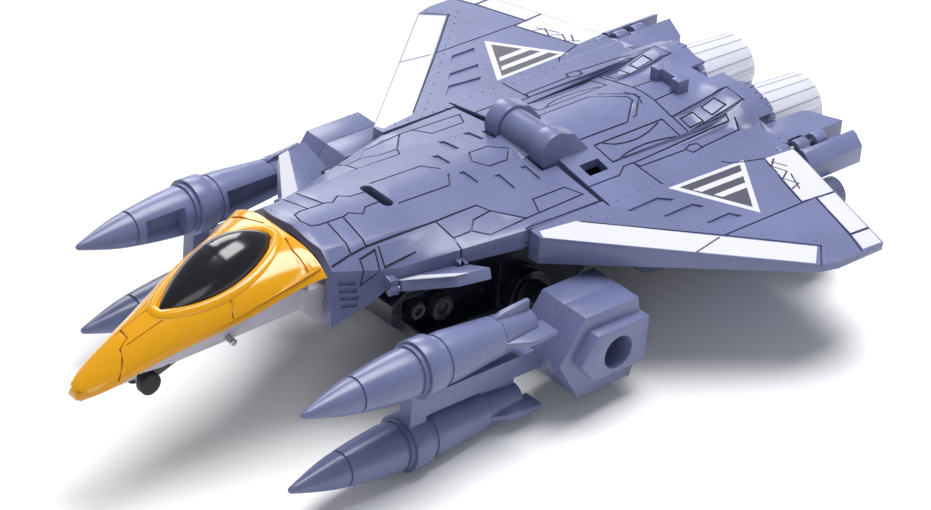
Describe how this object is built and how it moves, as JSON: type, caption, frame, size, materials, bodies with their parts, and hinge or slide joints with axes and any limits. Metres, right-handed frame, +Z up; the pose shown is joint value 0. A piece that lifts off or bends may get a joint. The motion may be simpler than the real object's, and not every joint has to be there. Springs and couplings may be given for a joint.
{
  "type": "folding toy jet aircraft",
  "caption": "Hand-sized toy jet whose nose, front fuselage, canards, tail fins, legs and missile pods fold on hinges.",
  "frame": {"origin": "middle of the footprint at floor level", "axes": "+X to the left wing, -Y to the nose, +Z up, with the toy standing nose-up on its lower missile rings and its heels"},
  "size_m": [0.0856, 0.1256, 0.0294],
  "materials": {
    "blue_plastic": "satin moulded",
    "slate_plastic": "matt moulded",
    "yellow_gloss": "gloss painted",
    "navy_plastic": "semi gloss",
    "pearl_plastic": "satin",
    "grey_plastic": "satin moulded",
    "tyre_black": "matt",
    "steel_pin": "plain"
  },
  "bodies": {
    "airframe": {"rear_shell": "blue_plastic", "rear_cover": "navy_plastic", "cover_screws": "steel_pin", "top_clip": "blue_plastic", "fold_pin": "steel_pin", "belly_frame": "navy_plastic", "belly_bolts": "steel_pin", "wing_left": "blue_plastic", "tail_boom_left": "blue_plastic", "nozzle_left": "pearl_plastic", "fin_pin_left": "steel_pin", "hip_pin_left": "steel_pin", "shoulder_axle_left": "navy_plastic", "wing_right": "blue_plastic", "tail_boom_right": "blue_plastic", "nozzle_right": "pearl_plastic", "fin_pin_right": "steel_pin", "hip_pin_right": "steel_pin", "shoulder_axle_right": "navy_plastic"},
    "front": {"front_shell": "blue_plastic", "front_frame": "navy_plastic", "frame_screws": "steel_pin", "nose_hinge_pin": "steel_pin", "canard_pin_left": "steel_pin", "canard_pin_right": "steel_pin"},
    "nose": {"nose_top": "yellow_gloss", "canopy": "navy_plastic", "nose_keel": "grey_plastic", "gear_pin": "steel_pin"},
    "nose_gear": {"gear_leg": "navy_plastic", "gear_wheels": "tyre_black"},
    "canard_left": {"canard_left": "blue_plastic"},
    "tail_fin_left": {"tail_fin_left": "blue_plastic"},
    "leg_left": {"leg_left": "slate_plastic", "leg_cover_left": "blue_plastic", "leg_jet_left": "slate_plastic"},
    "pod_left": {"pod_outer_left": "blue_plastic", "pod_inner_left": "blue_plastic", "missile_rack_left": "slate_plastic", "missile_upper_left": "blue_plastic", "missile_lower_left": "blue_plastic"},
    "canard_right": {"canard_right": "blue_plastic"},
    "tail_fin_right": {"tail_fin_right": "blue_plastic"},
    "leg_right": {"leg_right": "slate_plastic", "leg_cover_right": "blue_plastic", "leg_jet_right": "slate_plastic"},
    "pod_right": {"pod_outer_right": "blue_plastic", "pod_inner_right": "blue_plastic", "missile_rack_right": "slate_plastic", "missile_upper_right": "blue_plastic", "missile_lower_right": "blue_plastic"}
  },
  "joints": [
    {"name": "front_fold", "type": "hinge", "parent": "airframe", "child": "front", "pos_m": [0, 0.01537, 0.02303], "axis": [1, 0, 0], "range_deg": [-90, 0]},
    {"name": "nose_fold", "type": "hinge", "parent": "front", "child": "nose", "pos_m": [0, -0.0263, 0.01828], "axis": [1, 0, 0], "range_deg": [0, 90]},
    {"name": "gear_swing", "type": "hinge", "parent": "nose", "child": "nose_gear", "pos_m": [0, -0.04063, 0.01767], "axis": [1, 0, 0], "range_deg": [0, 80]},
    {"name": "canard_fold_left", "type": "hinge", "parent": "front", "child": "canard_left", "pos_m": [0.01195, -0.01991, 0.01986], "axis": [0.1986, 0.9754, -0.0956], "range_deg": [0, 75]},
    {"name": "canard_fold_right", "type": "hinge", "parent": "front", "child": "canard_right", "pos_m": [-0.01195, -0.01991, 0.01986], "axis": [0.1986, -0.9754, 0.0956], "range_deg": [0, 75]},
    {"name": "fin_fold_left", "type": "hinge", "parent": "airframe", "child": "tail_fin_left", "pos_m": [0.01875, 0.04989, 0.01543], "axis": [0, -0.9952, 0.0976], "range_deg": [0, 90]},
    {"name": "fin_fold_right", "type": "hinge", "parent": "airframe", "child": "tail_fin_right", "pos_m": [-0.01875, 0.04989, 0.01543], "axis": [0, 0.9952, -0.0976], "range_deg": [0, 90]},
    {"name": "leg_swing_left", "type": "hinge", "parent": "airframe", "child": "leg_left", "pos_m": [0.01335, 0.02316, 0.01031], "axis": [1, 0, 0], "range_deg": [-90, 0]},
    {"name": "leg_swing_right", "type": "hinge", "parent": "airframe", "child": "leg_right", "pos_m": [-0.01335, 0.02316, 0.01031], "axis": [1, 0, 0], "range_deg": [-90, 0]},
    {"name": "pod_swing_left", "type": "hinge", "parent": "airframe", "child": "pod_left", "pos_m": [0.0207, 0.00393, 0.00888], "axis": [1, 0, 0], "range_deg": [-40, 90]},
    {"name": "pod_swing_right", "type": "hinge", "parent": "airframe", "child": "pod_right", "pos_m": [-0.0207, 0.00393, 0.00888], "axis": [1, 0, 0], "range_deg": [-40, 90]}
  ]
}
